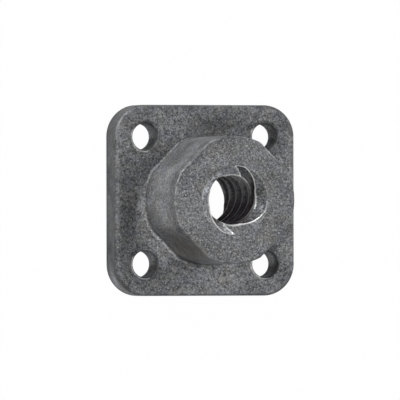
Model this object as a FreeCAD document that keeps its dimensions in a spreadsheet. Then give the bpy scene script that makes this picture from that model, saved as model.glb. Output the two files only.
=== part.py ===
import FreeCAD, Part
import math
import os

import Sketcher
from FreeCAD import Vector

# Flange lead screw nut: a square plate with four screw holes, a round hub whose four
# flats clear the screw heads, and a four-start right-hand thread through the middle.
# Z is the lead screw's axis, and the plate's back face lies on Z = 0.

# Driving sizes, in millimetres and degrees
sizes = {
    "screw_hole_spacing": 25.4,
    "screw_hole_diameter": 5.33,
    "screw_hole_bevel": 0.25,
    "screw_head_room": 5.9605,
    "plate_thickness": 5.56,
    "plate_corner_radius": 6.35,
    "plate_edge_radius": 0.9,
    "nut_length": 22.86,
    "hub_flat_depth": 0.7,
    "hub_rim_bevel": 0.45,
    "hub_foot_bevel": 0.35,
    "front_countersink_diameter": 13.9,
    "back_countersink_diameter": 17.0,
    "countersink_angle": 100.0,
    "thread_minor_diameter": 9.8,
    "thread_major_diameter": 13.5,
    "thread_pitch": 3.7,
    "thread_starts": 4,
    "thread_root_width": 0.75,
    "thread_flank_angle": 20.0,
    "thread_mouth_turn": 85.0,
}

tolerance = 1e-4

doc = FreeCAD.newDocument("flange_nut")
sheet = doc.addObject("Spreadsheet::Sheet", "sizes")
for row, (alias, value) in enumerate(sizes.items(), start=1):
    sheet.set(f"A{row}", alias.replace("_", " "))
    sheet.set(f"B{row}", str(value))
    sheet.setAlias(f"B{row}", alias)
doc.recompute()

body = doc.addObject("PartDesign::Body", "flange_nut")
body.Label = "flange_nut"


def new_sketch(name, role):
    """A sketch on one of the body's own origin planes."""
    sketch = body.newObject("Sketcher::SketchObject", name)
    plane = next(f for f in body.Origin.OriginFeatures if f.Role == role)
    sketch.AttachmentSupport = [(plane, "")]
    sketch.MapMode = "FlatFace"
    return sketch


def dimension(sketch, name, expression, *constraint):
    """A named constraint whose value follows the sheet."""
    index = sketch.addConstraint(Sketcher.Constraint(*constraint))
    sketch.renameConstraint(index, name)
    sketch.setExpression(f"Constraints.{name}", expression)


def closed_loop(sketch, points):
    """Straight lines from point to point, joined end to end."""
    count = len(points)
    for place in range(count):
        start = Vector(*points[place], 0)
        end = Vector(*points[(place + 1) % count], 0)
        sketch.addGeometry(Part.LineSegment(start, end))
    for place in range(count):
        sketch.addConstraint(Sketcher.Constraint("Coincident", place, 2, (place + 1) % count, 1))


def padded(name, sketch, length):
    pad = body.newObject("PartDesign::Pad", name)
    pad.Profile = sketch
    pad.setExpression("Length", length)
    doc.recompute()
    return pad


def dressed(name, kind, measure, base, size, belongs):
    """A fillet or chamfer of the given size on those edges of the base that pass the test."""
    dressing = body.newObject(f"PartDesign::{kind}", name)
    edges = [f"Edge{i}" for i, edge in enumerate(base.Shape.Edges, start=1) if belongs(edge)]
    dressing.Base = (base, edges)
    dressing.setExpression(measure, size)
    doc.recompute()
    return dressing


def rounded(name, base, radius, belongs):
    return dressed(name, "Fillet", "Radius", base, radius, belongs)


def bevelled(name, base, size, belongs):
    return dressed(name, "Chamfer", "Size", base, size, belongs)


def around_axis(name, original, occurrences):
    """Copies of a feature, spread evenly about the Z axis."""
    pattern = body.newObject("PartDesign::PolarPattern", name)
    pattern.Originals = [original]
    z_axis = next(f for f in body.Origin.OriginFeatures if f.Role == "Z_Axis")
    pattern.Axis = (z_axis, [""])
    pattern.Angle = 360
    pattern.setExpression("Occurrences", occurrences)
    body.Tip = pattern
    doc.recompute()
    return pattern


def is_level(edge, height):
    box = edge.BoundBox
    return abs(box.ZMin - height) < tolerance and abs(box.ZMax - height) < tolerance


def is_upright(edge):
    return edge.BoundBox.ZLength > tolerance


def reach(edge):
    """How far the edge's ends lie from the Z axis."""
    return max(math.hypot(vertex.X, vertex.Y) for vertex in edge.Vertexes)


# Square plate with a softened front edge and corners rounded about the screw holes
half_spacing = sizes["screw_hole_spacing"] / 2
half_side = half_spacing + sizes["plate_corner_radius"]
side_rule = "sizes.screw_hole_spacing + 2 * sizes.plate_corner_radius"
plate_outline = new_sketch("plate_outline", "XY_Plane")
closed_loop(
    plate_outline,
    [(-half_side, -half_side), (half_side, -half_side), (half_side, half_side), (-half_side, half_side)],
)
for line, direction in enumerate(("Horizontal", "Vertical", "Horizontal", "Vertical")):
    plate_outline.addConstraint(Sketcher.Constraint(direction, line))
plate_outline.addConstraint(Sketcher.Constraint("Symmetric", 0, 1, 2, 1, -1, 1))
dimension(plate_outline, "width", side_rule, "DistanceX", 0, 1, 0, 2, 2 * half_side)
dimension(plate_outline, "depth", side_rule, "DistanceY", 1, 1, 1, 2, 2 * half_side)
plate = padded("plate", plate_outline, "sizes.plate_thickness")
corners = rounded("plate_corners", plate, "sizes.plate_corner_radius", is_upright)
front = sizes["plate_thickness"]
plate_edge = rounded("plate_edge", corners, "sizes.plate_edge_radius", lambda e: is_level(e, front))

# Round hub, whose four flats leave room for the screw heads
flat_distance = half_spacing * math.sqrt(2) - sizes["screw_head_room"]
flat_rule = "sizes.screw_hole_spacing / sqrt(2) - sizes.screw_head_room"
hub_radius = flat_distance + sizes["hub_flat_depth"]
half_flat = math.sqrt(hub_radius**2 - flat_distance**2)
half_flat_angle = math.atan2(half_flat, flat_distance)
rim_circle = Part.Circle(Vector(), Vector(0, 0, 1), hub_radius)
quarter_turn = math.pi / 2
hub_outline = new_sketch("hub_outline", "XY_Plane")
for quarter in range(4):
    turn = (quarter + 0.5) * quarter_turn
    outward = Vector(math.cos(turn), math.sin(turn), 0)
    along = Vector(-math.sin(turn), math.cos(turn), 0)
    middle = outward * flat_distance
    hub_outline.addGeometry(Part.LineSegment(middle - along * half_flat, middle + along * half_flat))
    arc_start = turn + half_flat_angle
    arc_end = turn + quarter_turn - half_flat_angle
    hub_outline.addGeometry(Part.ArcOfCircle(rim_circle, arc_start, arc_end))
for flat in range(0, 8, 2):
    arc = flat + 1
    hub_outline.addConstraint(Sketcher.Constraint("Coincident", flat, 2, arc, 1))
    hub_outline.addConstraint(Sketcher.Constraint("Coincident", arc, 2, (flat + 2) % 8, 1))
    hub_outline.addConstraint(Sketcher.Constraint("Coincident", arc, 3, -1, 1))
    from_axis = ("Distance", -1, 1, flat, flat_distance)
    dimension(hub_outline, f"flat_{flat}", flat_rule, *from_axis)
for flat in range(0, 6, 2):
    hub_outline.addConstraint(Sketcher.Constraint("Perpendicular", flat, flat + 2))
hub_outline.addConstraint(Sketcher.Constraint("Angle", 0, 1.5 * quarter_turn))
dimension(hub_outline, "radius", f"{flat_rule} + sizes.hub_flat_depth", "Radius", 1, hub_radius)
hub = padded("hub", hub_outline, "sizes.nut_length")
end = sizes["nut_length"]
hub_rim = bevelled("hub_rim", hub, "sizes.hub_rim_bevel", lambda e: is_level(e, end))


def is_hub_foot(edge):
    return is_level(edge, front) and reach(edge) < hub_radius + tolerance


hub_foot = bevelled("hub_foot", hub_rim, "sizes.hub_foot_bevel", is_hub_foot)

# Four screw holes, one at each corner of the plate
hole_radius = sizes["screw_hole_diameter"] / 2
hole_outline = new_sketch("screw_hole_outline", "XY_Plane")
hole_outline.addGeometry(Part.Circle(Vector(half_spacing, half_spacing, 0), Vector(0, 0, 1), hole_radius))
hole_spacing = "sizes.screw_hole_spacing / 2"
dimension(hole_outline, "across", hole_spacing, "DistanceX", -1, 1, 0, 3, half_spacing)
dimension(hole_outline, "up", hole_spacing, "DistanceY", -1, 1, 0, 3, half_spacing)
dimension(hole_outline, "radius", "sizes.screw_hole_diameter / 2", "Radius", 0, hole_radius)
screw_hole = body.newObject("PartDesign::Pocket", "screw_hole")
screw_hole.Profile = hole_outline
screw_hole.Type = "ThroughAll"
screw_hole.Reversed = True
doc.recompute()
screw_holes = around_axis("screw_holes", screw_hole, "4")


def is_hole_mouth(edge):
    curve = edge.Curve
    is_hole = isinstance(curve, Part.Circle) and abs(curve.Radius - hole_radius) < tolerance
    return is_hole and is_level(edge, front)


hole_mouths = bevelled("screw_hole_mouths", screw_holes, "sizes.screw_hole_bevel", is_hole_mouth)

# Bore at the thread's minor diameter, countersunk at both ends and wider at the back
bore_radius = sizes["thread_minor_diameter"] / 2
mouth_slope = math.tan(math.radians(sizes["countersink_angle"] / 2))
front_radius = sizes["front_countersink_diameter"] / 2
back_radius = sizes["back_countersink_diameter"] / 2
front_depth = (front_radius - bore_radius) / mouth_slope
back_depth = (back_radius - bore_radius) / mouth_slope
bore_outline = new_sketch("bore_outline", "XZ_Plane")
closed_loop(
    bore_outline,
    [
        (0, 0),
        (back_radius, 0),
        (bore_radius, back_depth),
        (bore_radius, end - front_depth),
        (front_radius, end),
        (0, end),
    ],
)
bore_outline.addConstraint(Sketcher.Constraint("Coincident", 0, 1, -1, 1))
for line in (0, 4):
    bore_outline.addConstraint(Sketcher.Constraint("Horizontal", line))
for line in (2, 5):
    bore_outline.addConstraint(Sketcher.Constraint("Vertical", line))
bore_rule = "sizes.thread_minor_diameter / 2"
dimension(bore_outline, "bore_radius", bore_rule, "DistanceX", -1, 1, 1, 2, bore_radius)
mouths = (
    ("back", back_radius, back_depth, 0, (0, 2, 1, 2)),
    ("front", front_radius, front_depth, 3, (3, 1, 3, 2)),
)
for name, mouth_radius, mouth_depth, line, span in mouths:
    mouth = f"sizes.{name}_countersink_diameter"
    depth = f"({mouth} - sizes.thread_minor_diameter) / 2 / tan(sizes.countersink_angle / 2)"
    dimension(bore_outline, f"{name}_mouth", f"{mouth} / 2", "DistanceX", -1, 1, line, 2, mouth_radius)
    dimension(bore_outline, f"{name}_depth", depth, "DistanceY", *span, mouth_depth)
dimension(bore_outline, "length", "sizes.nut_length", "DistanceY", 5, 2, 5, 1, end)
bore = body.newObject("PartDesign::Groove", "bore")
bore.Profile = bore_outline
bore.ReferenceAxis = (bore_outline, ["V_Axis"])
bore.Angle = 360
doc.recompute()

# Thread groove: a trapezium swept up a right-hand helix, once for each start. It begins
# below the back face and ends above the hub, so that it runs out in both mouths, and its
# section overshoots the bore's wall.
root_radius = sizes["thread_major_diameter"] / 2
root_half = sizes["thread_root_width"] / 2
overshoot = 1.1
section_depth = (root_radius - bore_radius) * overshoot
flank_rise = section_depth * math.tan(math.radians(sizes["thread_flank_angle"]))
pitch = sizes["thread_pitch"]
lead = pitch * sizes["thread_starts"]
level = (end - lead * sizes["thread_mouth_turn"] / 360) % pitch - 2 * pitch
groove_section = new_sketch("groove_section", "XZ_Plane")
closed_loop(
    groove_section,
    [
        (root_radius - section_depth, level - root_half - flank_rise),
        (root_radius, level - root_half),
        (root_radius, level + root_half),
        (root_radius - section_depth, level + root_half + flank_rise),
    ],
)
for line in (1, 3):
    groove_section.addConstraint(Sketcher.Constraint("Vertical", line))
groove_section.addConstraint(Sketcher.Constraint("Equal", 0, 2))
major_rule = "sizes.thread_major_diameter / 2"
depth_rule = f"(sizes.thread_major_diameter - sizes.thread_minor_diameter) / 2 * {overshoot}"
flank_rule = f"{depth_rule} * tan(sizes.thread_flank_angle)"
lead_rule = "sizes.thread_pitch * sizes.thread_starts"
mouth_rule = f"sizes.nut_length - {lead_rule} * sizes.thread_mouth_turn / 360"
level_rule = f"mod({mouth_rule}; sizes.thread_pitch) - 2 * sizes.thread_pitch - sizes.thread_root_width / 2"
dimension(groove_section, "major_radius", major_rule, "DistanceX", -1, 1, 1, 1, root_radius)
dimension(groove_section, "root_width", "sizes.thread_root_width", "DistanceY", 1, 1, 1, 2, 2 * root_half)
dimension(groove_section, "section_depth", depth_rule, "DistanceX", 0, 1, 0, 2, section_depth)
dimension(groove_section, "flank_rise", flank_rule, "DistanceY", 0, 1, 0, 2, flank_rise)
dimension(groove_section, "level", level_rule, "DistanceY", -1, 1, 1, 1, level - root_half)
groove = body.newObject("PartDesign::SubtractiveHelix", "groove")
groove.Profile = groove_section
groove.ReferenceAxis = (groove_section, ["V_Axis"])
groove.Mode = "pitch-height-angle"
groove.setExpression("Pitch", lead_rule)
groove.setExpression("Height", "sizes.nut_length + 3 * sizes.thread_pitch")
groove.Refine = False
doc.recompute()
thread = around_axis("thread", groove, "sizes.thread_starts")
thread.Refine = False
doc.recompute()

for item in doc.Objects:
    if "Invalid" in item.State or "Error" in item.State:
        raise ValueError(f"{item.Name} did not build")
if body.Shape.isNull() or not body.Shape.isValid():
    raise ValueError("The nut is not a valid solid")
os.makedirs("parts", exist_ok=True)
body.Shape.exportStep(f"parts/{body.Label}.step")
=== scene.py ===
import math
from types import SimpleNamespace

import bmesh
import bpy
import numpy as np
from mathutils import Matrix, Vector


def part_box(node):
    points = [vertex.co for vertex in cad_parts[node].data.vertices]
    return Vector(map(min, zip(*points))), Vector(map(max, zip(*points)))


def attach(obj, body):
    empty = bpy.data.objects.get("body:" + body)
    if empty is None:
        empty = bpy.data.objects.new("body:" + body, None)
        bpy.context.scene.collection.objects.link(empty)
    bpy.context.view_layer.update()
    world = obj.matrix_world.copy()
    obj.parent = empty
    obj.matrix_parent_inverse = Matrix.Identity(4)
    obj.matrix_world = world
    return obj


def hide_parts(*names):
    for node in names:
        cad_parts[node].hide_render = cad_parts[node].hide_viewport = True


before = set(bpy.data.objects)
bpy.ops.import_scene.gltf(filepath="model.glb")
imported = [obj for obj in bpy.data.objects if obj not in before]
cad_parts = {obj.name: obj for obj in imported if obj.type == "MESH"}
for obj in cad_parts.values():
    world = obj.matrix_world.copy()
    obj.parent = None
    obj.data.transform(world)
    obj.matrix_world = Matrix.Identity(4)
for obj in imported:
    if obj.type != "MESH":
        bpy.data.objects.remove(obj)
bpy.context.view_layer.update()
mm = 0.001

nut = {
    # lengths in millimetres and angles in degrees
    "plateThickness": 5.56,
    "cornerRadius": 6.35,
    "frontEdge": 0.9,  # rounding of the plate's front edge
    "backEdge": 0.15,
    "holeRadius": 2.665,
    "holeFrontEdge": 0.35,
    "holeBackEdge": 0.1,
    "hubRadius": 12.7,
    "flatDistance": 12.0,
    "flatBlend": 0.05,  # how softly the flats turn into the round
    "footRadius": 0.6,
    "rimRadius": 0.6,
    "frontMouthRadius": 6.95,
    "backMouthRadius": 8.5,
    "mouthAngle": 100.0,
    "crestRadius": 4.9,
    "rootRadius": 6.75,
    "rootHalfWidth": 0.375,
    "flankAngle": 20.0,
    "pitch": 3.7,
    "starts": 4,
    "mouthTurn": 85.0,  # where the first groove's middle meets the front face
    # steps of the grids
    "turnSteps": 400,
    "flankSteps": 6,
    "crestSteps": 6,
    "straightSteps": 12,
    "cornerSteps": 24,
    "gapSteps": 9,
    "faceSteps": 8,
    "sideSteps": 7,
    "frontEdgeSteps": 8,
    "smallEdgeSteps": 2,
    "holeEdgeSteps": 4,
    "holeWallSteps": 5,
    "hubEdgeSteps": 6,
    "hubWallSteps": 11,
    "endShares": (0, 0.2, 0.4, 0.6, 0.8, 0.93, 0.97, 1),  # rows of the end faces, out to in
    "faceCrowding": 1.2,  # above 1, the rows of the plate's faces crowd round the holes
    "holeEvening": 0.1,  # how far the lines out of a hole are spread evenly, so that none cross
    "weldDistance": 0.0002,
    "sharpAngle": 28.0,
    # painted light and shade: how light each surface is beside the plate's front. Where a value
    # changes with the angle from X towards Y, it is a plain value, and then an amount, a middle
    # and a half-width for each arc that adds to it
    # painted shade up the plate's side, darkest at its back edge
    "sideHeights": (0.0, 0.6, 1.4, 3.0, 4.2, 5.1, 5.25, 5.56),
    "sidePaintedShades": (0.25, 0.5, 0.62, 0.66, 0.6, 0.62, 0.9, 1.0),
    # painted light and shade in bands up the hub's wall, lighter low down and darker near the rim
    "wallHeights": (5.6, 6.0, 7.0, 9.5, 13.0, 19.0, 20.5, 22.4, 22.86),
    "wallPaintedLight": (0.7, 0.85, 1.35, 1.5, 1.45, 1.15, 0.75, 0.85, 1.05),
    # painted light on the foot's rounding at the lower left
    "footPaintedLight": (0.0, (0.8, 225, 36)),
    # painted shade on the rim's rounding at the upper left
    "rimPaintedShade": (0.0, (0.25, 130, 50)),
    # painted light on the holes' walls, with a painted glint to the upper right
    "holePaintedGlint": (1.1, (1.2, 28, 40)),
    # painted shade on the front face just above each hole
    "holeTopPaintedShade": (0.0, (0.4, 95, 70)),
    # painted shade just inside each hole, fading out over a depth
    "holePaintedShade": 0.55,  # just inside the hole's front edge
    "holePaintedShadeDepth": 2.2,
    # the cones' own lighter colour, with painted light and shade by angle
    "mouthToneAndPaintedLight": (1.35, (0.25, 185, 35), (-0.5, -25, 70)),
    # painted light in the grooves, more where they run out and at the upper left, and painted shade at
    # the upper right
    "groovePaintedLight": 1.5,
    "shallowPaintedLight": (0.0, (0.2, -38, 35), (0.6, 240, 50)),  # added where the grooves run out
    "topPaintedShade": (0.0, (0.95, 55, 65)),  # taken away in the grooves at the upper right
    "upperLeftPaintedLight": (0.0, (0.35, 147, 26)),
    # how far the drawn lines of the walls show, from 0 to 1
    "holeDrawn": 0.5,
    "plateFrontDrawn": 0.4,
    "footDrawn": (0.0, 0.2, 0.4, 0.7),  # the hub's first rows
    "wallDrawn": (1.0, (-0.7, 180, 60)),
    # how worn the edges are, from 0 to 1; the arcs and the crests' changes along the bore are painted
    # highlights
    "plateEdgeWear": 0.15,
    "holeWearAndHighlight": (0.1, (0.42, 215, 90)),
    "backHoleWear": 0.5,
    "rimWearAndHighlight": (0.15, (0.2, 80, 50), (0.2, 208, 80)),
    "footWearAndHighlight": (0.0, (0.36, 208, 62)),
    "mouthWearAndHighlight": (0.1, (0.45, 190, 48), (0.25, 252, 28), (0.5, 36, 36), (0.25, -45, 30)),
    "plainMouthWear": 0.1,  # round the mouths on the flat faces, and at the bore's back end
    "grooveFrontWearAndHighlight": (0.9, (0.25, 0, 110), (0.4, 232, 45)),
    "grooveBackWearAndHighlight": (0.65, (0.1, 250, 45), (-0.5, -10, 50), (-0.5, 180, 35)),
    "grooveStartFade": (0.0, (1.0, -10, 60)),
    "creaseWidth": 0.22,
    "frontCrease": (1.0, (0.9, 228, 42)),  # as shares of the crease's width
    "backCrease": 0.8,
    "crestWearAndHighlight": (0.9, -0.08, 0.12),  # plain, and added low in the bore and near the front
    "crestFall": (0.45, 0.6),  # how it falls along the crest: plain, and added low in the bore
    "crestStartWear": 0.4,
    "crestMargin": 0.02,  # crests are worn only where the cones are less than this above them
    "justInWearAndHighlight": (0.0, (0.85, 55, 60)),
    # painted highlights on the lips
    "lips": ((0.9, 152, 58), (0.765, -110, 55)),  # bright lips between front cone and thread
    "lipWidth": 0.45,
    # distances over the crease's width, the lip's width and the crest's, from none to all
    "creaseShares": (1.1, 0.1),
    "lipShares": (1.3, 0.3),
    "crestStartShares": (0.5, 0.0),
    "justInShares": (2 / 3, 1.0),
    "lowShares": (-1 / 3, 1 / 3),  # distances below the axis, over the radius
    "lowLoss": 0.7,  # how much less the low side counts near the front
    # how much painted shade darkens the bore, from 0 to 1
    "boreShadeRange": (0.35, 0.75),  # at the top, and halfway up
    "crestShade": (0.3, 0.6),  # plain, and added low in the bore
    # depths over which a change comes in, from none of it to all of it
    "boreShadeDepths": (0.8, 3.8),
    "shallowDepths": (2.4, 0.9),
    "topDepths": (6.0, 3.0),
    "grooveStartDepths": (-0.6, 0.9),
    "nearFrontDepths": (3.0, 0.0),  # from where the front cone meets the crests
    "justInDepths": (2.08, 0.48),  # from there too
}

boxLow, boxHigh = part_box("flange_nut")
halfSide = (boxHigh.x - boxLow.x) / 2 / mm
nutLength = (boxHigh.z - boxLow.z) / mm
holeCentre = halfSide - nut["cornerRadius"]
thickness = nut["plateThickness"]
turns = np.arange(nut["turnSteps"] + 1) / nut["turnSteps"] * 2 * math.pi
turnDegrees = np.degrees(turns)
tiny = 1e-6

patches = []


def addPatch(points, wall=0.0, bore=0.0, edge=0.0, tone=1.0):
    # keeps a grid of points, rows by columns, with its surface marks; the tone mark paints light and
    # shade
    marks = [np.broadcast_to(np.asarray(v, float), points.shape[:2]) for v in (wall, bore, edge, tone)]
    patches.append((points, marks))


def fade(value, none, full):
    # a straight rise from 0 where the value is at none to 1 where it is at full
    return np.clip((value - none) / (full - none), 0, 1)


def nearAngle(degrees, middle, half):
    # 1 over the middle two thirds of an arc, fading to 0 at its ends
    away = np.abs((degrees - middle + 180) % 360 - 180)
    return fade(away / half, 1, 2 / 3)


def byAngle(degrees, table):
    # the table's plain value, plus each arc's amount near that arc's middle
    plain, *arcs = table
    return plain + sum(amount * nearAngle(degrees, middle, half) for amount, middle, half in arcs)


def inBetween(start, end, steps):
    # evenly spread values between two ends, without the ends
    return np.linspace(start, end, steps + 1)[1:-1]


def quarterRound(radius, steps):
    # a quarter circle as distance gone along and distance dropped, both from 0 to the radius
    angle = np.linspace(0, math.pi / 2, steps + 1)
    return radius * np.sin(angle), radius * (1 - np.cos(angle))


def hubOutline(offset):
    # distance from the axis: the smaller of the circle and the four flats, softly blended,
    # then moved outwards by the offset along the outline's own normal
    toFlat = (turns % (math.pi / 2)) - math.pi / 4
    flat = nut["flatDistance"] / np.cos(toFlat)
    gap = np.sqrt((flat - nut["hubRadius"]) ** 2 + nut["flatBlend"] ** 2)
    radius = (flat + nut["hubRadius"] - gap) / 2
    ring = np.stack([radius * np.cos(turns), radius * np.sin(turns)], -1)
    ahead = np.roll(ring[:-1], -1, 0) - np.roll(ring[:-1], 1, 0)
    normal = np.stack([ahead[:, 1], -ahead[:, 0]], -1)
    normal /= np.linalg.norm(normal, axis=1, keepdims=True)
    normal = np.concatenate([normal, normal[:1]])
    return ring + normal * np.reshape(offset, (-1, 1, 1))


def plateOutline(inset):
    # one quarter of a rounded square, from the X axis round to the Y axis, moved inwards
    straight = holeCentre * np.linspace(0, 1, nut["straightSteps"] + 1)
    corner = np.linspace(0, math.pi / 2, nut["cornerSteps"] + 1)
    reach = np.reshape(nut["cornerRadius"] - np.asarray(inset, float), (-1, 1))
    cornerX = holeCentre + reach * np.cos(corner)
    cornerY = holeCentre + reach * np.sin(corner)
    edge = np.broadcast_to(holeCentre + reach, (len(reach), len(straight)))
    along = np.broadcast_to(straight, edge.shape)
    x = np.concatenate([edge, cornerX[:, 1:-1], along[:, ::-1]], 1)
    y = np.concatenate([along, cornerY[:, 1:-1], edge], 1)
    return np.stack([x, y], -1)


def turned(points, quarter):
    # the same points a number of quarter turns further round the axis
    x, y, z = points[..., 0], points[..., 1], points[..., 2]
    for _ in range(quarter):
        x, y = -y, x
    return np.stack([x, y, z], -1)


def lifted(ring, height):
    # adds the height to flat points
    height = np.broadcast_to(np.reshape(height, (-1, 1)), ring.shape[:-1])
    return np.concatenate([ring, height[..., None]], -1)


def plateRim(inset, hubRing):
    # the outline of a quarter of a flat face, all the way round its hole
    outer = plateOutline(inset)[0]
    inner = hubRing[: nut["turnSteps"] // 4 + 1]
    gapX = inBetween(inner[0, 0], outer[0, 0], nut["gapSteps"])
    gapY = inBetween(outer[-1, 1], inner[-1, 1], nut["gapSteps"])
    lower = np.stack([gapX, np.zeros_like(gapX)], -1)
    upper = np.stack([np.zeros_like(gapY), gapY], -1)
    return np.concatenate([lower, outer, upper, inner[::-1], lower[:1]])


footRing = hubOutline(nut["footRadius"])[0]
backRing = hubOutline(0.0)[0]
rimRing = hubOutline(-nut["rimRadius"])[0]
frontRim = plateRim(nut["frontEdge"], footRing)
backRim = plateRim(nut["backEdge"], backRing)

# the lines leave the hole nearly radially
outOfHole = np.unwrap(np.arctan2(frontRim[:, 1] - holeCentre, frontRim[:, 0] - holeCentre))
evenly = np.linspace(outOfHole[0], outOfHole[-1], len(outOfHole))
outOfHole += (evenly - outOfHole) * nut["holeEvening"]
holeCircle = np.stack([np.cos(outOfHole), np.sin(outOfHole)], -1)


def plateFace(rim, height, radius):
    # straight lines from the hole's rim out to the face's outline
    circle = holeCentre + holeCircle * radius
    share = np.linspace(0, 1, nut["faceSteps"] + 1) ** nut["faceCrowding"]
    return lifted(circle + (rim - circle) * share[:, None, None], height)


def holeProfile():
    # down through a hole: a soft front edge, a straight wall and a small back edge
    front, back = nut["holeFrontEdge"], nut["holeBackEdge"]
    across, drop = quarterRound(front, nut["holeEdgeSteps"])
    backAcross, backDrop = quarterRound(back, nut["smallEdgeSteps"])
    wall = inBetween(thickness - front, back, nut["holeWallSteps"])
    radius = nut["holeRadius"] + np.concatenate([front - across, np.zeros(len(wall)), backDrop])
    return radius, np.concatenate([thickness - drop, wall, back - backAcross])


def sideProfile():
    # up the plate's side: a small back edge, the side and the rounded front edge
    front, back = nut["frontEdge"], nut["backEdge"]
    across, drop = quarterRound(front, nut["frontEdgeSteps"])
    backAcross, backDrop = quarterRound(back, nut["smallEdgeSteps"])
    side = inBetween(back, thickness - front, nut["sideSteps"])
    inset = np.concatenate([back - backAcross, np.zeros(len(side)), drop])
    return inset, np.concatenate([backDrop, side, thickness - front + across])


def hubProfile():
    # up the hub: the foot's radius, the wall and the rim's rounding
    foot, rim = nut["footRadius"], nut["rimRadius"]
    across, drop = quarterRound(foot, nut["hubEdgeSteps"])
    rimAcross, rimDrop = quarterRound(rim, nut["hubEdgeSteps"])
    wall = inBetween(thickness + foot, nutLength - rim, nut["hubWallSteps"])
    outward = np.concatenate([foot - across, np.zeros(len(wall)), -rimDrop])
    return outward, np.concatenate([thickness + drop, wall, nutLength - rim + rimAcross])


def addPlateFaces(quarter):
    # a quarter of the plate's front face and back face
    facing = np.degrees(outOfHole) + 90 * quarter
    front = plateFace(frontRim, thickness, nut["holeRadius"] + nut["holeFrontEdge"])
    edge = np.zeros(front.shape[:2])
    # wear round the hole, with a painted highlight to the lower left
    edge[0] = byAngle(facing, nut["holeWearAndHighlight"])
    tone = np.ones(front.shape[:2])
    # painted shade on the face just above the hole
    tone[:2] -= byAngle(facing, nut["holeTopPaintedShade"])
    addPatch(turned(front, quarter), edge=edge, tone=tone)
    back = plateFace(backRim, 0.0, nut["holeRadius"] + nut["holeBackEdge"])
    edge = np.zeros(back.shape[:2])
    edge[0] = nut["backHoleWear"]
    addPatch(turned(back, quarter), edge=edge)


def addHole(quarter):
    # the hole's profile carried round its circle
    facing = np.degrees(outOfHole) + 90 * quarter
    radius, height = holeProfile()
    points = lifted(holeCentre + holeCircle * radius[:, None, None], height)
    onEdge = (height > thickness - nut["holeFrontEdge"] / 5)[:, None]
    # painted shade just inside the front edge, and painted light with a glint deeper in
    deep = fade(thickness - height, 0, nut["holePaintedShadeDepth"])[:, None]
    tone = nut["holePaintedShade"] + (byAngle(facing, nut["holePaintedGlint"]) - nut["holePaintedShade"]) * deep
    # wear on the front edge, with a painted highlight to the lower left
    edge = onEdge * byAngle(facing, nut["holeWearAndHighlight"])
    addPatch(turned(points, quarter), wall=nut["holeDrawn"], edge=edge, tone=tone)


def addSide(quarter):
    # the side's profile carried along a quarter of the outline
    inset, height = sideProfile()
    points = lifted(plateOutline(inset), height)
    onEdge = (thickness - nut["frontEdge"], thickness)
    drawn = np.interp(height, onEdge, (1.0, nut["plateFrontDrawn"]))
    edge = np.zeros(len(height))
    edge[-5:-2] = nut["plateEdgeWear"]  # the middle rows of the rounding
    # painted shade up the side
    tone = np.interp(height, nut["sideHeights"], nut["sidePaintedShades"])
    addPatch(turned(points, quarter), wall=drawn[:, None], edge=edge[:, None], tone=tone[:, None])


def addHub():
    # the hub's profile carried round its outline
    outward, height = hubProfile()
    onFoot = fade(height, thickness + nut["footRadius"], thickness)[:, None]
    onRim = fade(height, nutLength - nut["rimRadius"], nutLength - nut["rimRadius"] / 2)[:, None]
    drawn = np.ones(len(height))
    drawn[: len(nut["footDrawn"])] = nut["footDrawn"]
    drawn[-2:] = 0.0
    drawn = drawn[:, None] * byAngle(turnDegrees, nut["wallDrawn"])
    # painted light and shade: bands up the wall, light on the foot at the lower left, shade on the rim
    # at the upper left
    tone = np.interp(height, nut["wallHeights"], nut["wallPaintedLight"])[:, None]
    tone = tone + onFoot * byAngle(turnDegrees, nut["footPaintedLight"])
    tone = tone * (1 - onRim * byAngle(turnDegrees, nut["rimPaintedShade"]))
    edge = np.zeros((len(height), len(turns)))
    # wear on the rim and the foot, with painted highlights by angle
    edge[-5:-2] = byAngle(turnDegrees, nut["rimWearAndHighlight"])
    edge[:2] = byAngle(turnDegrees, nut["footWearAndHighlight"])
    addPatch(lifted(hubOutline(outward), height), wall=drawn, edge=edge, tone=tone)


def addEndFace(ring, mouthRadius, height):
    # straight lines from a ring round the face to the bore's mouth
    mouth = np.stack([np.cos(turns), np.sin(turns)], -1) * mouthRadius
    share = np.array(nut["endShares"])[:, None, None]
    edge = np.zeros((len(share), len(turns)))
    edge[-1] = nut["plainMouthWear"]
    addPatch(lifted(ring + (mouth - ring) * share, height), edge=edge)


for quarter in range(4):
    addPlateFaces(quarter)
    addHole(quarter)
    addSide(quarter)
addHub()
addEndFace(rimRing, nut["frontMouthRadius"], nutLength)
addEndFace(backRing, nut["backMouthRadius"], 0.0)

mouthSlope = math.tan(math.radians(nut["mouthAngle"] / 2))
throat = nutLength - (nut["frontMouthRadius"] - nut["crestRadius"]) / mouthSlope


def cone(level):
    # radius of the mouths at a height: the greater of the back cone's and the front cone's
    back = nut["backMouthRadius"] - level * mouthSlope
    return np.maximum(back, nut["frontMouthRadius"] - (nutLength - level) * mouthSlope)


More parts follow.
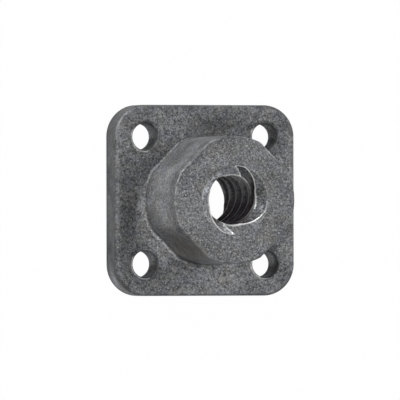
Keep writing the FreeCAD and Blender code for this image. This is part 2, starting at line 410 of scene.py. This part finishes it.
def threadSection():
    # heights from the first groove's middle at turn 0, groove after groove, with the thread's
    # radius there and how far along its crest each lies, from 0 at the edge nearer the back
    slope = math.tan(math.radians(nut["flankAngle"]))
    crestStart = nut["rootHalfWidth"] + (nut["rootRadius"] - nut["crestRadius"]) * slope
    crestEnd = nut["pitch"] - crestStart
    flank = np.linspace(nut["rootHalfWidth"], crestStart, nut["flankSteps"] + 1)
    crest = np.linspace(crestStart, crestEnd, nut["crestSteps"] + 1)
    fall = nut["pitch"] - flank[::-1]
    section = np.concatenate([[0.0], flank, crest[1:], fall[1:]])
    lead = nut["pitch"] * nut["starts"]
    first = nutLength - lead * nut["mouthTurn"] / 360
    below = math.ceil((first + lead) / nut["pitch"]) + 1
    above = math.ceil((nutLength - first) / nut["pitch"]) + 1
    offsets = (np.arange(-below, above)[:, None] * nut["pitch"] + section).ravel()
    inPitch = offsets % nut["pitch"]
    fromRoot = np.minimum(inPitch, nut["pitch"] - inPitch)
    radius = nut["rootRadius"] - (fromRoot - nut["rootHalfWidth"]) / slope
    radius = np.clip(radius, nut["crestRadius"], nut["rootRadius"])
    alongCrest = (inPitch - crestStart) / (crestEnd - crestStart)
    height = first + offsets[None, :] + lead * turns[:, None] / (2 * math.pi)
    return np.clip(height, 0, nutLength), np.broadcast_to(radius, height.shape), alongCrest


def setNear(values, found, before, after):
    # gives what was found between two neighbours in a row to the nearer one
    values = values.copy()
    values[:, :-1][before] = found[before]
    values[:, 1:][after] = found[after]
    return values


def boreShape():
    # bore: at each turn round the axis, heights follow the thread's own edges, and the radius
    # is the greater of the thread's and the cones'. A point next to the edge between groove
    # and cone is moved onto it
    height, thread, alongCrest = threadSection()
    outside = cone(height) - thread
    crossing = outside[:, :-1] * outside[:, 1:] < 0
    place = outside[:, :-1] / np.where(crossing, outside[:, :-1] - outside[:, 1:], 1)
    meet = height[:, :-1] + place * (height[:, 1:] - height[:, :-1])
    before = crossing & (place < 0.5)
    after = crossing & (place >= 0.5)
    moved = setNear(height, meet, before, after)
    onEdge = setNear(np.zeros(height.shape, bool), crossing, before, after)
    radius = np.where(onEdge, cone(moved), np.maximum(cone(height), thread))
    nearFront = fade(throat - moved, *nut["nearFrontDepths"])
    low = fade(-np.sin(turns), *nut["lowShares"])[:, None] * (1 - nut["lowLoss"] * nearFront)
    return SimpleNamespace(
        height=moved,
        radius=radius,
        thread=thread,
        meet=meet,
        before=before,
        after=after,
        onEdge=onEdge,
        frontSide=outside[:, :-1] < 0,
        alongCrest=alongCrest,
        onCrest=(alongCrest > -tiny) & (alongCrest < 1 + tiny),
        nearFront=nearFront,
        low=low,
        atMouth=(moved <= 0) | (moved >= nutLength),
    )


def crestWearAndHighlight(bore):
    # the crests are rubbed along their edges nearer the back; painted highlights dim them low in
    # the bore and brighten them near the front
    plain, addedLow, addedFront = nut["crestWearAndHighlight"]
    fall, fallLow = nut["crestFall"]
    wearAndHighlight = plain + addedLow * bore.low + addedFront * bore.nearFront
    wearAndHighlight = wearAndHighlight - (fall + fallLow * bore.low) * bore.alongCrest
    atStart = fade(bore.alongCrest, *nut["crestStartShares"])
    wearAndHighlight = wearAndHighlight + nut["crestStartWear"] * bore.nearFront * atStart
    justIn = byAngle(turnDegrees[:, None], nut["justInWearAndHighlight"])
    justIn = justIn * fade(throat - bore.height, *nut["justInDepths"])
    wearAndHighlight = np.maximum(wearAndHighlight, justIn * fade(bore.alongCrest, *nut["justInShares"]))
    inThread = bore.onCrest & (cone(bore.height) < nut["crestRadius"] + nut["crestMargin"])
    return np.where(inThread, wearAndHighlight, 0.0)


def boreWearAndHighlight(bore):
    # worn creases with painted highlights: strips that fade out within a short way on either side
    # of the edges between grooves and cones, where the grooves' front edges are worn and highlighted
    # most
    around = turnDegrees[:, None]
    frontWear, backWear = (byAngle(around, nut[key]) for key in ("grooveFrontWearAndHighlight", "grooveBackWearAndHighlight"))
    strength = np.where(bore.frontSide, frontWear, backWear)
    atStart = fade(nutLength - bore.meet, *nut["grooveStartDepths"])
    strength = strength * (1 - byAngle(around, nut["grooveStartFade"]) * (1 - atStart))
    wearAndHighlight = setNear(crestWearAndHighlight(bore), strength, bore.before, bore.after)
    width = np.where(bore.frontSide, byAngle(around, nut["frontCrease"]), nut["backCrease"])
    reach = setNear(np.ones(wearAndHighlight.shape), width, bore.before, bore.after) * nut["creaseWidth"]
    spread = wearAndHighlight.copy()
    onEdge = wearAndHighlight * bore.onEdge
    for step in (1, 2, 3):
        apart = np.abs(bore.height[:, step:] - bore.height[:, :-step])
        onward = fade(apart / reach[:, :-step], *nut["creaseShares"]) * onEdge[:, :-step]
        backward = fade(apart / reach[:, step:], *nut["creaseShares"]) * onEdge[:, step:]
        spread[:, step:] = np.maximum(spread[:, step:], onward)
        spread[:, :-step] = np.maximum(spread[:, :-step], backward)
    arcs = [amount * nearAngle(around, middle, half) for amount, middle, half in nut["lips"]]
    fromThroat = np.abs(bore.height - throat) / nut["lipWidth"]
    lip = np.maximum(*arcs) * fade(fromThroat, *nut["lipShares"]) * bore.onCrest
    wearAndHighlight = np.where(bore.atMouth, nut["plainMouthWear"], np.maximum(spread, lip))
    return np.where(bore.height >= nutLength, byAngle(around, nut["mouthWearAndHighlight"]), wearAndHighlight)


def borePaintedLight(bore):
    # painted light and shade on the cones and the grooves, over the cones' own lighter colour
    around = turnDegrees[:, None]
    depth = nutLength - bore.height
    groove = nut["groovePaintedLight"] + fade(depth, *nut["shallowDepths"]) * byAngle(around, nut["shallowPaintedLight"])
    groove = groove - fade(depth, *nut["topDepths"]) * byAngle(around, nut["topPaintedShade"])
    onCone = cone(bore.height) > bore.thread - tiny
    tone = np.where(onCone, byAngle(around, nut["mouthToneAndPaintedLight"]), groove)
    inFront = bore.height > nutLength / 2
    tone = tone * (1 + byAngle(around, nut["upperLeftPaintedLight"]) * inFront)
    return np.where(bore.atMouth, 1.0, tone)


def boreShade(bore):
    # painted shade with a purple-brown tint, away from the mouths, mostly low in the bore and in
    # the grooves
    top, halfway = nut["boreShadeRange"]
    plain, addedLow = nut["crestShade"]
    inward = fade(np.minimum(bore.height, nutLength - bore.height), *nut["boreShadeDepths"])
    lying = np.clip(halfway - np.sin(turns), top, 1)[:, None]
    return inward * lying * np.where(bore.onCrest, plain + addedLow * bore.low, 1.0)


def addBore():
    bore = boreShape()
    flat = [bore.radius * np.cos(turns)[:, None], bore.radius * np.sin(turns)[:, None]]
    points = np.stack([*flat, bore.height], -1)
    addPatch(points, bore=boreShade(bore), edge=boreWearAndHighlight(bore), tone=borePaintedLight(bore))


addBore()
print("surfaces worked out:", len(patches))


def joinPatches(name):
    # sews the patches together along their shared edges and turns every face outwards
    points, faces, marks, start = [], [], [[], [], [], []], 0
    for grid, values in patches:
        rows, columns = grid.shape[:2]
        index = np.arange(rows * columns).reshape(rows, columns) + start
        quads = np.stack([index[:-1, :-1], index[1:, :-1], index[1:, 1:], index[:-1, 1:]], -1)
        points.append(grid.reshape(-1, 3))
        faces.append(quads.reshape(-1, 4))
        for kept, value in zip(marks, values):
            kept.append(value.ravel())
        start += rows * columns
    mesh = bpy.data.meshes.new(name)
    points = np.concatenate(points) * mm
    faces = np.concatenate(faces)
    mesh.vertices.add(len(points))
    mesh.vertices.foreach_set("co", points.astype(np.float32).ravel())
    mesh.loops.add(faces.size)
    mesh.loops.foreach_set("vertex_index", faces.astype(np.int32).ravel())
    mesh.polygons.add(len(faces))
    mesh.polygons.foreach_set("loop_start", np.arange(0, faces.size, 4, dtype=np.int32))
    mesh.update(calc_edges=True)
    for title, kept in zip(("wall", "bore", "edge", "tone"), marks):
        layer = mesh.attributes.new(title, "FLOAT", "POINT")
        layer.data.foreach_set("value", np.concatenate(kept).astype(np.float32))
    weld = nut["weldDistance"] * mm
    sewn = bmesh.new()
    sewn.from_mesh(mesh)
    bmesh.ops.remove_doubles(sewn, verts=sewn.verts, dist=weld)
    bmesh.ops.dissolve_degenerate(sewn, edges=sewn.edges, dist=weld / 2)
    bmesh.ops.recalc_face_normals(sewn, faces=sewn.faces)
    openEdges = sum(1 for edge in sewn.edges if len(edge.link_faces) != 2)
    sewn.to_mesh(mesh)
    sewn.free()
    mesh.shade_smooth()
    mesh.set_sharp_from_angle(angle=math.radians(nut["sharpAngle"]))
    piece = bpy.data.objects.new(name, mesh)
    bpy.context.scene.collection.objects.link(piece)
    print(name, "has", len(mesh.polygons), "faces and", openEdges, "open edges")
    return piece


nutPiece = joinPatches("flangeNut")


class Wire:
    # one socket of a material, on which sums can be written

    def __init__(self, shop, socket):
        self.shop = shop
        self.socket = socket

    def __add__(self, other):
        return self.shop.sum("ADD", self, other)

    def __sub__(self, other):
        return self.shop.sum("SUBTRACT", self, other)

    def __rsub__(self, other):
        return self.shop.sum("SUBTRACT", other, self)

    def __mul__(self, other):
        return self.shop.sum("MULTIPLY", self, other)

    __radd__ = __add__
    __rmul__ = __mul__


class Shop:
    # makes the nodes of one material or world

    def __init__(self, owner):
        owner.use_nodes = True
        self.owner = owner
        self.tree = owner.node_tree
        self.tree.nodes.clear()

    def node(self, kind, settings=None, values=None, output=0):
        made = self.tree.nodes.new(kind)
        for key, value in (settings or {}).items():
            setattr(made, key, value)
        for key, value in (values or {}).items():
            if isinstance(value, Wire):
                self.tree.links.new(value.socket, made.inputs[key])
            else:
                made.inputs[key].default_value = value
        return Wire(self, made.outputs[output]) if made.outputs else None

    def sum(self, operation, first, second):
        return self.node("ShaderNodeMath", {"operation": operation}, {0: first, 1: second})

    def blend(self, share, first, second):
        return self.node("ShaderNodeMix", {"data_type": "RGBA"}, {0: share, 6: first, 7: second}, 2)

    def tinted(self, colour, tint):
        settings = {"data_type": "RGBA", "blend_type": "MULTIPLY"}
        return self.node("ShaderNodeMix", settings, {0: 1.0, 6: colour, 7: tint}, 2)

    def between(self, value, low, high):
        # the value's place between low and high, held inside 0 and 1
        keys = {0: value, 1: low, 2: high, 3: 0.0, 4: 1.0}
        return self.node("ShaderNodeMapRange", {"clamp": True}, keys)

    def noise(self, place, scale, detail, roughness):
        values = {"Vector": place, "Scale": scale, "Detail": detail, "Roughness": roughness}
        return self.node("ShaderNodeTexNoise", None, values)

    def spot(self, place, middle, halfSize):
        # 1 in the middle, fading to 0 at the half-size
        away = self.node("ShaderNodeVectorMath", {"operation": "SUBTRACT"}, {0: place, 1: middle})
        away = self.node("ShaderNodeVectorMath", {"operation": "DIVIDE"}, {0: away, 1: halfSize})
        far = self.node("ShaderNodeVectorMath", {"operation": "LENGTH"}, {0: away}, 1)
        keys = {0: far, 1: 0.0, 2: 1.0, 3: 1.0, 4: 0.0}
        return self.node("ShaderNodeMapRange", {"interpolation_type": "SMOOTHSTEP"}, keys)

    def scaled(self, vector, factor):
        keys = {0: vector, "Scale": factor}
        return self.node("ShaderNodeVectorMath", {"operation": "SCALE"}, keys)

    def mark(self, name):
        return self.node("ShaderNodeAttribute", {"attribute_name": name}, None, 2)


iron = {
    "dark": (0.06, 0.06, 0.063, 1),
    "light": (0.375, 0.375, 0.383, 1),
    "cool": (0.95, 0.99, 1.05, 1),
    "warm": (1.01, 1.0, 0.96, 1),
    "sparkle": (0.8, 0.8, 0.8, 1),
    # the bore's painted shade, a dark purple-brown
    "boreShadeColour": (0.017, 0.008, 0.012, 1),
    # worn edges and painted highlights
    "wornAndHighlight": (0.94, 0.94, 0.93, 1),
    "brown": (1.08, 1.0, 0.86, 1),
    "brownSpot": ((-8.8, -8.6, 15.0), (8.0, 8.0, 13.0)),
    # noises: scale per millimetre, detail and roughness
    "grain": (2.1, 4.0, 0.7),
    "cluster": (0.6, 3.0, 0.6),
    "patch": (0.16, 3.0, 0.55),
    "speck": (3.6, 1.0, 0.5),
    "hue": (0.35, 2.0, 0.5),
    "streak": (1.0, 4.0, 0.65),
    "wearAndHighlightNoise": (1.1, 3.0, 0.6),
    "streakStretch": (0.45, 0.45, 1.3),
    # the part of each noise that is spread from none to all
    "grainRange": (0.36, 0.68),
    "streakRange": (0.38, 0.62),
    "cloudRange": (0.35, 0.65),
    "speckRange": (0.6, 0.72),
    "wearAndHighlightRange": (0.55, 1.0),
    "cloudBase": 0.45,
    "drawnShare": 0.5,  # of drawn lines beside grain on a wall
    "drawnTone": (0.5, 0.25),  # added by the lines, and plain
    "sparkleShare": 0.55,
    "wallSparkleLoss": 0.6,
    "boreShadeShare": 0.9,
    "wearAndHighlightNoiseShare": 0.5,
    "metallic": 0.75,
    "roughness": (0.48, 0.2, 0.1),  # plain, added by grain and taken away by wear
    "bumpHeights": (0.5, 0.3, 0.6),  # of grain, specks and drawn lines
    "bumpStrength": 0.5,
    "bumpDistance": 0.05,
    # painted shade and painted light in soft darker and lighter patches
    "paintedLightAndShade": (  # soft darker and lighter areas: middle and half-size in mm, and the change
        ((-16.0, -1.5, 5.5), (3.6, 12.5, 3.0), -0.48),
        ((-12.6, -7.0, 5.7), (3.2, 8.5, 1.6), 0.5),
        ((-9.0, 12.8, 5.5), (6.0, 5.0, 3.0), 0.42),
        ((-14.5, 16.8, 5.5), (7.0, 3.2, 3.0), -0.15),
        ((-14.5, -15.5, 5.5), (5.5, 5.0, 3.0), -0.25),
        ((18.0, 8.0, 5.0), (2.5, 13.0, 4.0), 0.3),
        ((-5.3, 3.3, 22.3), (1.1, 1.1, 0.9), 1.0),
        ((-4.3, 4.5, 22.1), (1.2, 1.2, 0.9), 0.9),
        ((-3.1, 5.1, 21.9), (1.1, 1.1, 0.9), 0.8),
        ((13.6, -15.2, 3.5), (1.3, 0.7, 2.2), 1.0),
        ((-9.0, -15.0, 5.5), (6.5, 4.0, 3.0), -0.28),
        ((7.0, -14.5, 5.5), (7.0, 3.5, 3.0), 0.18),
        ((3.5, 15.2, 5.5), (9.5, 3.2, 3.0), -0.42),
        ((16.2, 14.5, 4.0), (3.6, 6.0, 5.0), -0.42),
        ((15.8, -14.0, 4.0), (3.0, 4.5, 5.0), -0.35),
        ((-4.0, -11.8, 14.0), (7.5, 4.5, 11.0), -0.55),
        ((-8.8, -8.6, 16.0), (6.5, 6.5, 11.0), -0.6),
        ((-12.2, -3.8, 8.0), (2.5, 3.6, 6.0), -0.3),
        ((-11.5, 5.5, 8.0), (3.5, 6.0, 5.0), -0.22),
        ((-12.5, 8.6, 5.5), (4.0, 2.6, 2.0), 0.35),
        ((-4.0, -12.4, 7.5), (5.5, 2.5, 4.0), -0.5),
        ((-8.8, -8.6, 9.5), (6.0, 6.0, 4.0), -0.34),
        ((-9.8, -9.8, 5.4), (3.8, 3.8, 1.0), 0.55),
        ((-13.3, -0.5, 5.4), (1.8, 6.0, 1.0), 0.45),
        ((-16.8, -11.5, 5.5), (3.5, 8.0, 3.0), -0.3),
        ((15.1, -11.4, 3.0), (1.3, 1.3, 3.0), 0.8),
        ((-10.3, -11.4, 3.0), (1.3, 1.3, 3.0), 0.4),
        ((-8.0, 9.5, 12.0), (6.5, 6.5, 9.0), -0.42),
        ((-2.5, 12.0, 16.0), (6.0, 3.0, 8.0), -0.3),
        ((-17.5, -16.5, 2.5), (5.0, 5.0, 3.2), 1.2),
    ),
}


def paintIron():
    # grainy, speckled iron: walls show drawn lines, the bore has painted shade, the edges are worn
    # with painted highlights, and the tone mark and the spots paint light and shade
    shop = Shop(bpy.data.materials.new("sinteredIron"))
    here = shop.node("ShaderNodeTexCoord", None, None, 3)
    place = shop.scaled(here, 1 / mm)
    stretch = {"Vector": place, "Scale": iron["streakStretch"]}
    along = shop.node("ShaderNodeMapping", None, stretch)
    wall, bore, edge, paintedLight = (shop.mark(name) for name in ("wall", "bore", "edge", "tone"))
    noises = ("grain", "cluster", "patch", "speck", "hue", "wearAndHighlightNoise")
    grain, cluster, patch, speck, hue, wearAndHighlightNoise = (shop.noise(place, *iron[name]) for name in noises)
    streak = shop.noise(along, *iron["streak"])

    rough = shop.between(grain, *iron["grainRange"])
    drawn = shop.between(streak, *iron["streakRange"])
    added, plain = iron["drawnTone"]
    lines = (drawn * added + plain) * wall * iron["drawnShare"]
    mottle = rough * (1 - wall * iron["drawnShare"]) + lines
    clouds = [shop.between(noise, *iron["cloudRange"]) * 0.5 for noise in (cluster, patch)]
    tone = mottle * (clouds[0] + clouds[1] + iron["cloudBase"])
    colour = shop.blend(tone, iron["dark"], iron["light"])
    tint = shop.blend(shop.between(hue, *iron["cloudRange"]), iron["cool"], iron["warm"])
    colour = shop.tinted(colour, tint)
    sparkle = shop.between(speck, *iron["speckRange"])
    sparkle = sparkle * (1 - wall * iron["wallSparkleLoss"]) * (1 - bore)
    colour = shop.blend(sparkle * iron["sparkleShare"], colour, iron["sparkle"])
    # painted light and shade from the tone mark and the spots
    for middle, halfSize, change in iron["paintedLightAndShade"]:
        paintedLight = paintedLight * (1 + shop.spot(place, middle, halfSize) * change)
    # painted shade in the bore
    colour = shop.blend(bore * iron["boreShadeShare"], colour, iron["boreShadeColour"])
    colour = shop.scaled(colour, paintedLight)
    browned = shop.tinted(colour, iron["brown"])
    colour = shop.blend(shop.spot(place, *iron["brownSpot"]) * wall, colour, browned)
    # wear on the edges, with painted highlights
    wearAndHighlight = shop.between(edge + wearAndHighlightNoise * iron["wearAndHighlightNoiseShare"], *iron["wearAndHighlightRange"])
    colour = shop.blend(wearAndHighlight, colour, iron["wornAndHighlight"])

    plain, byGrain, byWear = iron["roughness"]
    roughness = plain + grain * byGrain - wearAndHighlight * byWear
    grainHeight, speckHeight, lineHeight = iron["bumpHeights"]
    height = grain * grainHeight + speck * speckHeight + streak * wall * lineHeight
    bumpValues = {
        "Strength": iron["bumpStrength"],
        "Distance": iron["bumpDistance"] * mm,
        "Height": height,
    }
    bump = shop.node("ShaderNodeBump", None, bumpValues)
    shader = shop.node(
        "ShaderNodeBsdfPrincipled",
        None,
        {"Base Color": colour, "Roughness": roughness, "Metallic": iron["metallic"], "Normal": bump},
    )
    shop.node("ShaderNodeOutputMaterial", None, {"Surface": shader})
    return shop.owner


nutPiece.data.materials.append(paintIron())
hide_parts("flange_nut")
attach(nutPiece, "root")
print("iron painted")

studio = {
    "floorHalf": 1.5,  # lengths in metres
    "floorColour": (0.9, 0.9, 0.9, 1),
    "floorOwnLight": 0.985,  # share of plain white that the camera sees
    "worldStrength": 0.06,
    "white": (1, 1, 1, 1),
    "lamps": {  # power in watts, place and size
        "upperLeftLamp": (6.0, (-0.5, 0.48, 0.08), 0.4),
        "frontLamp": (1.97, (-0.32, 0.0, 0.87), 0.35),
        "rightLamp": (1.0, (0.4, -0.05, 0.75), 0.35),
        "lowLamp": (1.4, (0.1, -0.5, 0.5), 0.35),
        "farRightLamp": (1.1, (0.6, 0.2, 0.2), 0.35),
        "topLamp": (0.6, (0.0, 0.6, 0.3), 0.35),
    },
}


def makeFloor():
    half = studio["floorHalf"]
    mesh = bpy.data.meshes.new("floor")
    corners = [(-half, -half, 0), (half, -half, 0), (half, half, 0), (-half, half, 0)]
    mesh.from_pydata(corners, [], [(0, 1, 2, 3)])
    floor = bpy.data.objects.new("floor", mesh)
    bpy.context.scene.collection.objects.link(floor)
    floor.location.z = boxLow.z
    shop = Shop(bpy.data.materials.new("paleFloor"))
    matt = shop.node("ShaderNodeBsdfDiffuse", None, {"Color": studio["floorColour"]})
    bright = shop.node("ShaderNodeEmission", None, {"Color": studio["white"], "Strength": 1.0})
    toCamera = shop.node("ShaderNodeLightPath")
    share = toCamera * studio["floorOwnLight"]
    mixed = shop.node("ShaderNodeMixShader", None, {0: share, 1: matt, 2: bright})
    shop.node("ShaderNodeOutputMaterial", None, {"Surface": mixed})
    mesh.materials.append(shop.owner)


def makeWorld():
    # a faint even light, which the camera sees as plain white
    shop = Shop(bpy.data.worlds.new("studio"))
    faintValues = {"Color": studio["white"], "Strength": studio["worldStrength"]}
    faint = shop.node("ShaderNodeBackground", None, faintValues)
    bright = shop.node("ShaderNodeBackground", None, {"Color": studio["white"], "Strength": 1.0})
    toCamera = shop.node("ShaderNodeLightPath")
    mixed = shop.node("ShaderNodeMixShader", None, {0: toCamera, 1: faint, 2: bright})
    shop.node("ShaderNodeOutputWorld", None, {"Surface": mixed})
    bpy.context.scene.world = shop.owner


def addLamp(name, power, place, size):
    # a square soft box that faces the middle of the nut
    data = bpy.data.lights.new(name, "AREA")
    data.energy = power
    data.size = size
    lamp = bpy.data.objects.new(name, data)
    bpy.context.scene.collection.objects.link(lamp)
    lamp.location = place
    aim = Vector((0, 0, nutLength * mm / 2)) - Vector(place)
    lamp.rotation_euler = aim.to_track_quat("-Z", "Y").to_euler()


makeFloor()
makeWorld()
for lampName, (power, place, size) in studio["lamps"].items():
    addLamp(lampName, power, place, size)

shot = {
    "turn": 19.85,  # the nut's turn about the photo's upright, in degrees
    "tilt": -0.3,
    "roll": 0.11,
    "distance": 2.0,
    "pixelsPerMillimetre": 4.996,
    "originX": 195.96,  # where the axis meets the plate's back, in pixels
    "originY": 200.53,
    "imageSize": 400,
    "sensor": 36.0,
    "clip": (0.1, 20.0),
}


def makeCamera():
    # the camera's three axes are the rows of a turn, a tilt and a roll
    turn, tilt, roll = (math.radians(shot[key]) for key in ("turn", "tilt", "roll"))
    aboutY = Matrix.Rotation(turn, 3, "Y")
    aboutX = Matrix.Rotation(tilt, 3, "X")
    aboutZ = Matrix.Rotation(roll, 3, "Z")
    axes = aboutZ @ aboutX @ aboutY
    right, up, back = (axes[row] for row in range(3))
    data = bpy.data.cameras.new("camera")
    pixel = mm / shot["pixelsPerMillimetre"]
    data.sensor_width = shot["sensor"]
    data.lens = shot["sensor"] * shot["distance"] / (shot["imageSize"] * pixel)
    data.clip_start, data.clip_end = shot["clip"]
    camera = bpy.data.objects.new("camera", data)
    bpy.context.scene.collection.objects.link(camera)
    middle = shot["imageSize"] / 2
    aside = right * (middle - shot["originX"]) * pixel + up * (shot["originY"] - middle) * pixel
    place = back * shot["distance"] + aside
    camera.matrix_world = Matrix.LocRotScale(place, axes.transposed(), None)
    bpy.context.scene.camera = camera


makeCamera()
bpy.context.scene.view_settings.view_transform = "Standard"
print("studio ready")
